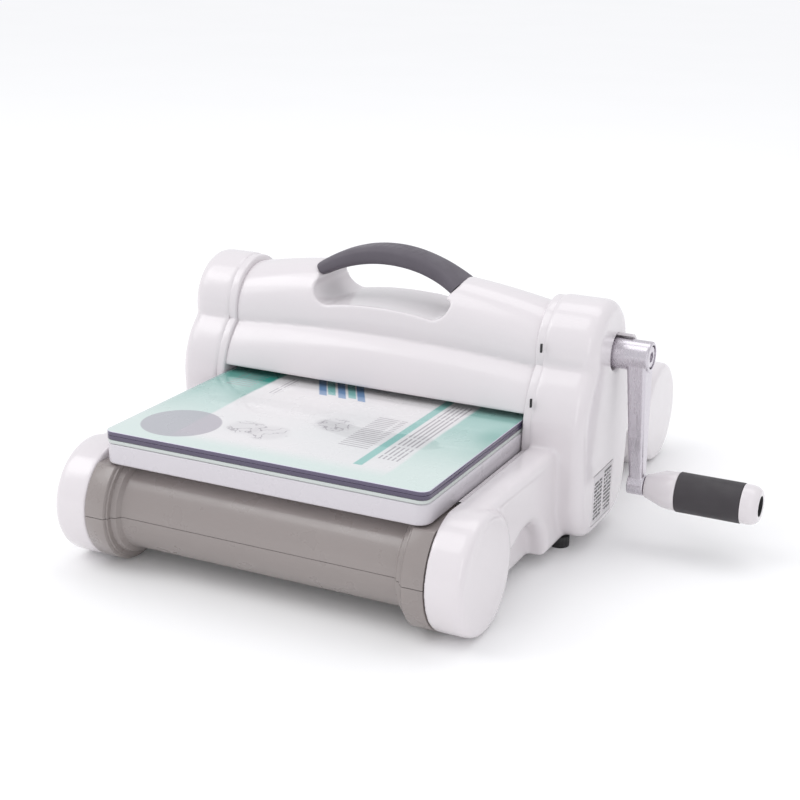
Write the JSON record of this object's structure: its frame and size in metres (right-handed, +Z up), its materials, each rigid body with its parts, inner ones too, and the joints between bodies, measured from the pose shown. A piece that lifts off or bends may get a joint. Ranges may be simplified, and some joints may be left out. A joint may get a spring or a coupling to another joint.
{
  "type": "die cutting machine",
  "caption": "Hand-cranked roller die cutting machine with twin towers, carrying handle, roll-shaped end covers and a sliding platform with cutting pads.",
  "frame": {"origin": "centre of the base plate's underside, between the two towers; the feet reach 5 mm below it", "axes": "+X towards the crank side, +Y from the front to the back along the platform's travel, +Z up"},
  "size_m": [0.4184, 0.4298, 0.1915],
  "materials": {
    "white_plastic": "satin white moulded plastic",
    "grey_plastic": "satin warm grey moulded plastic",
    "dark_grip": "matte dark grey soft grip",
    "steel": "machined",
    "satin_metal": "satin silver casting",
    "bronze": "sintered bushing",
    "black_rubber": "matte",
    "platform_plastic": "satin pale lilac plastic",
    "pad_plastic": "glossy clear plastic with purple edges",
    "printed_card": "printed card with teal bands",
    "gear_plastic": "moulded"
  },
  "bodies": {
    "housing": {"top_cover": "white_plastic", "left_casing": "white_plastic", "right_casing": "white_plastic", "left_inner_panel": "white_plastic", "right_inner_panel": "white_plastic", "handle_grip": "dark_grip", "front_roll_upper": "grey_plastic", "front_roll_lower": "grey_plastic", "rear_roll_upper": "grey_plastic", "rear_roll_lower": "grey_plastic", "base_plate": "steel", "left_side_plate": "steel", "right_side_plate": "steel", "front_tie_rod": "steel", "rear_tie_rod": "steel", "left_upper_bushing": "bronze", "left_lower_bushing": "bronze", "right_upper_bushing": "bronze", "right_lower_bushing": "bronze", "crank_bushing": "bronze", "left_front_foot": "black_rubber", "left_rear_foot": "black_rubber", "right_front_foot": "black_rubber", "right_rear_foot": "black_rubber", "left_front_outer_foot": "black_rubber", "left_rear_outer_foot": "black_rubber", "right_front_outer_foot": "black_rubber", "right_rear_outer_foot": "black_rubber", "left_front_base_screw": "steel", "left_rear_base_screw": "steel", "right_front_base_screw": "steel", "right_rear_base_screw": "steel"},
    "crank": {"crank_arm": "satin_metal", "hub_screw": "steel", "crank_shaft": "steel", "crank_pinion": "steel", "knob_spindle": "steel"},
    "knob": {"knob_sleeve": "white_plastic", "knob_grip": "dark_grip", "knob_cap": "white_plastic"},
    "upper_roller_set": {"upper_roller": "steel", "upper_timing_gear": "gear_plastic", "drive_gear": "gear_plastic"},
    "lower_roller_set": {"lower_roller": "steel", "lower_timing_gear": "gear_plastic"},
    "platform": {"platform_base": "platform_plastic", "adapter_plate": "white_plastic", "lower_cutting_pad": "pad_plastic", "printed_card": "printed_card", "upper_cutting_pad": "pad_plastic"}
  },
  "joints": [
    {"name": "crank_turn", "type": "hinge", "parent": "housing", "child": "crank", "pos_m": [0.15, 0.01, 0.12895], "axis": [1, 0, 0], "range_deg": [-1290, 1290]},
    {"name": "knob_spin", "type": "hinge", "parent": "crank", "child": "knob", "pos_m": [0.2, 0.01, 0.03695], "axis": [1, 0, 0], "continuous": true},
    {"name": "upper_roller_spin", "type": "hinge", "parent": "housing", "child": "upper_roller_set", "pos_m": [0, 0, 0.10935], "axis": [1, 0, 0], "range_deg": [-553, 553]},
    {"name": "lower_roller_spin", "type": "hinge", "parent": "housing", "child": "lower_roller_set", "pos_m": [0, 0, 0.04935], "axis": [1, 0, 0], "range_deg": [-553, 553]},
    {"name": "platform_slide", "type": "slide", "parent": "housing", "child": "platform", "axis": [0, 1, 0], "range_m": [-0.18, 0.18]}
  ],
  "couplings": [
    {"joint": "upper_roller_spin", "follows": "crank_turn", "ratio": -0.42857},
    {"joint": "lower_roller_spin", "follows": "crank_turn", "ratio": 0.42857},
    {"joint": "platform_slide", "follows": "crank_turn", "m_per_rad": -0.0079714}
  ]
}
